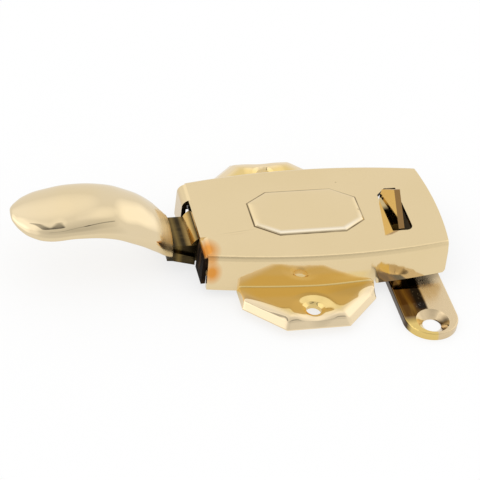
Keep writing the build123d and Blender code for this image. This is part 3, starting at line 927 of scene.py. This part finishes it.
def alongShare(distance):
    # place of a station on the rule, for a distance from the tip in millimetres
    share = distance * mm / handleUser["length"]
    return handleUser["capStart"] * share ** (1 / handleUser["spread"])


def stationCurve(tree, along, stations):
    largest = handleUser["curveTop"]
    points = [(alongShare(distance), value / largest) for distance, value in stations]
    points.append((1.0, points[-1][1]))
    return tree.add("ShaderNodeFloatCurve", {"points": points}, {"Value": along}) * (largest * mm)


def makeHandleRule():
    group = bpy.data.node_groups.new("handleRule", "GeometryNodeTree")
    group.interface.new_socket("Geometry", in_out="OUTPUT", socket_type="NodeSocketGeometry")
    for name, kind, value in (
        ("Tip", "NodeSocketVector", (0, 0, 0)),
        ("Length", "NodeSocketFloat", 0.0),
        ("Rings", "NodeSocketInt", 2),
        ("Sides", "NodeSocketInt", 3),
    ):
        socket = group.interface.new_socket(name, in_out="INPUT", socket_type=kind)
        socket.default_value = value
    tree = Tree(group)
    given = tree.add("NodeGroupInput")
    grid = tree.add("GeometryNodeMeshGrid", None, {
        "Size X": 1.0,
        "Size Y": 1.0,
        "Vertices X": tree.other(given, "Rings"),
        "Vertices Y": tree.other(given, "Sides"),
    })
    gridX, gridY = tree.axes(tree.add("GeometryNodeInputPosition"))[:2]
    along = (gridX + 0.5).clip()
    turn = (gridY + 0.5) * (2 * math.pi) - math.pi / 2
    sideways = turn.take("COSINE")
    upwards = turn.take("SINE")
    isUpper = upwards.take("GREATER_THAN", 0.0)
    lowerFullness = handleUser["lowerFullness"]
    fullness = isUpper * (1 - lowerFullness) + lowerFullness
    widest = handleUser["widest"]
    sideShare = sideways.take("SIGN") * (sideways.size() ** fullness)
    rise = isUpper * (1 - 2 * widest) + widest
    upShare = (isUpper * 2.0 - 1.0) * (upwards.size() ** fullness) * rise + widest
    capStart = handleUser["capStart"]
    ringScale = tree.add("ShaderNodeFloatCurve", {
        "points": [(0, 1), (capStart, 1), *handleUser["capScales"]],
    }, {"Value": along})
    bodyShare = (along * (1 / capStart)).clip() ** handleUser["spread"]
    width = stationCurve(tree, along, handleUser["widths"]) * 0.5
    thickness = stationCurve(tree, along, handleUser["thicknesses"])
    underside = stationCurve(tree, along, handleUser["undersides"])
    middle = underside + thickness * 0.5
    place = tree.add("ShaderNodeCombineXYZ", None, {
        "X": bodyShare * tree.other(given, "Length"),
        "Y": sideShare * width * ringScale,
        "Z": middle + (upShare - 0.5) * thickness * ringScale,
    })
    moved = tree.vector("ADD", place, given)
    shaped = tree.add("GeometryNodeSetPosition", None, {"Geometry": grid, "Position": moved})
    merged = tree.add("GeometryNodeMergeByDistance", None, {
        "Geometry": shaped,
        "Distance": handleUser["mergeWithin"],
    })
    shaded = tree.add("GeometryNodeSetShadeSmooth", None, {0: merged})
    real = tree.add("GeometryNodeRealizeInstances", None, {0: shaded})
    painted = tree.add("GeometryNodeSetMaterial", None, {
        "Geometry": real,
        "Material": makeLeverBrass(),
    })
    tree.add("NodeGroupOutput", None, {"Geometry": painted})
    return group


def plainMesh(name, group, values):
    # runs a rule and gives back a plain mesh object at the origin
    holder = bpy.data.objects.new(name + "_rule", bpy.data.meshes.new(name + "_rule"))
    bpy.context.scene.collection.objects.link(holder)
    modifier = holder.modifiers.new("rule", "NODES")
    modifier.node_group = group
    for item in group.interface.items_tree:
        if item.in_out == "INPUT":
            modifier[item.identifier] = values[item.name]
    bpy.context.view_layer.update()
    evaluated = holder.evaluated_get(bpy.context.evaluated_depsgraph_get())
    mesh = bpy.data.meshes.new_from_object(evaluated)
    bpy.data.objects.remove(holder)
    build = bmesh.new()
    build.from_mesh(mesh)
    bmesh.ops.remove_doubles(build, verts=build.verts, dist=roundingUser["mergeWithin"])
    bmesh.ops.recalc_face_normals(build, faces=build.faces)
    build.to_mesh(mesh)
    build.free()
    mesh.name = name
    piece = bpy.data.objects.new(name, mesh)
    bpy.context.scene.collection.objects.link(piece)
    return piece


handlePiece = plainMesh("dressed_lever", makeHandleRule(), {
    "Tip": (leverLeft, 0.0, 0.0),
    "Length": handleUser["length"],
    "Rings": handleUser["rings"],
    "Sides": handleUser["sides"] + 1,
})
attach(handlePiece, "lever_body")
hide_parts("lever")

# hub: cut off the solid behind the handle, with its cut face sunk into the neck
hubUser = {
    "edgeWidth": 0.22 * mm,
    "cut": 0.02 * mm,
    "sink": 1.0 * mm,
    # the flanges' ends stand nearer to the case than the solid's
    "flangeHalf": 5.3 * mm,
    "flangeEnd": caseLeft - 5.5 * mm,
    "flangeShift": 1.1 * mm,
    "darkSkin": (0.04, 0.028, 0.012),
    "paleSkin": (0.085, 0.06, 0.024),
    # painted highlight on the right flank
    "flankHighlightTone": (0.80, 0.52, 0.17),
    # pairs give where the flank begins or ends, and over what width it fades
    "flankLeft": (caseLeft - 3.2 * mm, 0.9 * mm),
    "flankRight": (caseLeft - 1.3 * mm, 0.9 * mm),
    "flankFoot": (5.1 * mm, 0.5 * mm),
    "sheenTone": (0.30, 0.20, 0.06),
    "sheenShare": 0.6,
    "sheenLine": (caseLeft - 4.6 * mm, 0.9 * mm),
    "roughness": 0.32,
    "flankPolish": 0.14,
}
hubBuild = mergedCopy("lever")
cutX = leverLeft + handleUser["length"] + hubUser["cut"]
bmesh.ops.bisect_plane(
    hubBuild,
    geom=list(hubBuild.verts) + list(hubBuild.edges) + list(hubBuild.faces),
    plane_co=(cutX, 0, 0),
    plane_no=(1, 0, 0),
    clear_inner=True,
)
closeOpenings(hubBuild)
for point in hubBuild.verts:
    if abs(point.co.x - cutX) < 0.001 * mm:
        point.co.x -= hubUser["sink"]
for point in hubBuild.verts:
    if abs(point.co.y) > hubUser["flangeHalf"] and point.co.x < hubUser["flangeEnd"]:
        point.co.x += hubUser["flangeShift"]


def makeHubBrass():
    # the hub was never polished: dark casting skin, a painted sheen, and its right flank smoother
    # with a painted highlight
    shader = Shader("hubBrass")
    where = shader.place()
    x, y, z = shader.axes(where)
    streaks = shader.noise(shader.stretched(where, (0.2, 1.0, 1.0)), 800.0, 4.0, 0.6)
    tone = shader.blend(streaks.above(0.47, 0.2), hubUser["darkSkin"], hubUser["paleSkin"])
    sheen = x.near(*hubUser["sheenLine"]) * hubUser["sheenShare"]
    tone = shader.blend(sheen, tone, hubUser["sheenTone"])
    onFlank = x.above(*hubUser["flankLeft"]) * x.below(*hubUser["flankRight"])
    onFlank = onFlank * z.above(*hubUser["flankFoot"])
    surface = shader.add("ShaderNodeBsdfPrincipled", None, {
        "Base Color": shader.blend(onFlank, tone, hubUser["flankHighlightTone"]),
        "Metallic": 1.0,
        "Roughness": hubUser["roughness"] - onFlank * hubUser["flankPolish"],
    })
    return shader.finish(surface)


hubPiece = finishPiece(
    hubBuild, "lever_hub", makeHubBrass(), hubUser["edgeWidth"], "lever_body"
)
print("lever done")

# studio: a white table, and a pale tent that shows only in the metal
studioUser = {
    "floorSize": 6.0,
    "floorGap": 0.02 * mm,
    "floorTone": 0.9,
    "floorGlow": 0.75,
    "floorMirrored": 0.86,
    # under the case's hollow the floor is dark
    "shadeTone": 0.02,
    "shadeHalf": (21.5 * mm, 10.5 * mm),
    "shadeSoft": 1.5 * mm,
    # the camera: degrees to the right and up, distance from its target, lens and roll
    "azimuth": -17.09,
    "elevation": 39.16,
    "distance": 389.1 * mm,
    "target": (-11.85 * mm, -2.78 * mm, 4.0 * mm),
    "focalPixels": 1767.8,
    "imagePixels": 480,
    "roll": 7.17,
    "tent": 0.86,
    # azimuth, elevation, degrees across that are even, degrees to the edge, added strength
    "panels": (
        (119, 31, 14, 29, 0.32),
        (150, 62, 3, 14, 0.16),
        (-170, 44, 6, 20, 0.16),
        (-121, 54, 16, 25, 0.34),
        (-90, 35, 10, 36, 0.40),
        (-5, 42, 16, 50, -0.14),
        (20, 80, 8, 30, -0.20),
    ),
    # dark bars: azimuth and elevation of both ends, half width in degrees, added strength
    "bars": (
        (-152, 67, -118, 78, 2.1, -0.60),
        (-43, 74, 63, 83, 1.5, -0.20),
        (63, 83, 94, 66, 1.8, -0.34),
    ),
}


def towards(azimuth, elevation):
    # direction from the object to a place in the studio
    turn = math.radians(azimuth)
    lift = math.radians(elevation)
    level = math.cos(lift)
    return Vector((math.sin(turn) * level, -math.cos(turn) * level, math.sin(lift)))


def grey(value):
    return (value, value, value)


def makeFloor():
    half = studioUser["floorSize"] / 2
    low = cadLow.z - studioUser["floorGap"]
    mesh = bpy.data.meshes.new("floor")
    corners = [(-half, -half, low), (half, -half, low), (half, half, low), (-half, half, low)]
    mesh.from_pydata(corners, [], [(0, 1, 2, 3)])
    floor = bpy.data.objects.new("floor", mesh)
    bpy.context.scene.collection.objects.link(floor)
    shader = Shader("paleFloor")
    isCamera = shader.add("ShaderNodeLightPath", output="Is Camera Ray")
    isGlossy = shader.other(isCamera, "Is Glossy Ray")
    x, y = shader.axes(shader.place())[:2]
    halfX, halfY = studioUser["shadeHalf"]
    soft = studioUser["shadeSoft"]
    beyondX = (x - caseUser["middle"]).size().above(halfX, soft)
    outside = (beyondX + y.size().above(halfY, soft)).clip()
    white = grey(1)
    openTone = shader.blend(isCamera, grey(studioUser["floorTone"]), white)
    lit = shader.add("ShaderNodeBsdfDiffuse", None, {
        "Color": shader.blend(outside, grey(studioUser["shadeTone"]), openTone),
    })
    glow = shader.add("ShaderNodeEmission", None, {
        "Color": shader.blend(isCamera, grey(studioUser["floorMirrored"]), white),
        "Strength": 1.0,
    })
    share = (isCamera + isGlossy).clip() * outside * studioUser["floorGlow"]
    surface = shader.add("ShaderNodeMixShader", None, {0: share, 1: lit, 2: glow})
    mesh.materials.append(shader.finish(surface))


def makeWorld():
    world = bpy.data.worlds.new("paleStudio")
    world.use_nodes = True
    bpy.context.scene.world = world
    tree = Tree(world.node_tree)
    tree.nodeTree.nodes.clear()
    direction = tree.add("ShaderNodeTexCoord")

    def panel(azimuth, elevation, inner, outer):
        # 1 within inner degrees of a direction, falling to 0 at outer degrees
        match = tree.vector("DOT_PRODUCT", direction, towards(azimuth, elevation), "Value")
        outerShare = math.cos(math.radians(outer))
        innerShare = math.cos(math.radians(inner))
        return match.above(outerShare, innerShare - outerShare)

    def bar(start, end, half):
        # 1 along the line between two directions, falling to 0 beside it
        first = towards(*start)
        across = towards(*end) - first
        offset = tree.vector("SUBTRACT", direction, first)
        share = tree.vector("DOT_PRODUCT", offset, across, "Value")
        share = (share * (1 / across.length_squared)).clip()
        nearest = tree.add(
            "ShaderNodeVectorMath", {"operation": "SCALE"}, {0: across, "Scale": share}
        )
        away = tree.vector("DISTANCE", offset, nearest, "Value")
        width = math.radians(half)
        return away.below(0.75 * width, 0.5 * width)

    strength = studioUser["tent"]
    for startTurn, startLift, endTurn, endLift, half, added in studioUser["bars"]:
        line = bar((startTurn, startLift), (endTurn, endLift), half)
        strength = strength + line * added
    for azimuth, elevation, inner, outer, added in studioUser["panels"]:
        strength = strength + panel(azimuth, elevation, inner, outer) * added
    white = (1, 1, 1, 1)
    plain = tree.add("ShaderNodeBackground", None, {"Color": white, "Strength": 1.0})
    mirrored = tree.add("ShaderNodeBackground", None, {"Color": white, "Strength": strength})
    isGlossy = tree.add("ShaderNodeLightPath", output="Is Glossy Ray")
    mixed = tree.add("ShaderNodeMixShader", None, {0: isGlossy, 1: plain, 2: mirrored})
    tree.add("ShaderNodeOutputWorld", None, {"Surface": mixed})


def makeCamera():
    roll = math.radians(studioUser["roll"])
    back = towards(studioUser["azimuth"], studioUser["elevation"])
    turn = math.radians(studioUser["azimuth"])
    level = Vector((math.cos(turn), math.sin(turn), 0))
    raised = back.cross(level)
    right = math.cos(roll) * level + math.sin(roll) * raised
    up = math.cos(roll) * raised - math.sin(roll) * level
    data = bpy.data.cameras.new("camera")
    data.lens = studioUser["focalPixels"] * data.sensor_width / studioUser["imagePixels"]
    data.clip_start = 10 * mm
    camera = bpy.data.objects.new("camera", data)
    bpy.context.scene.collection.objects.link(camera)
    place = Vector(studioUser["target"]) + studioUser["distance"] * back
    turned = Matrix((right, up, back)).transposed().to_4x4()
    camera.matrix_world = Matrix.Translation(place) @ turned
    bpy.context.scene.camera = camera


makeFloor()
makeWorld()
makeCamera()
bpy.context.scene.view_settings.view_transform = "Standard"
print("studio done")
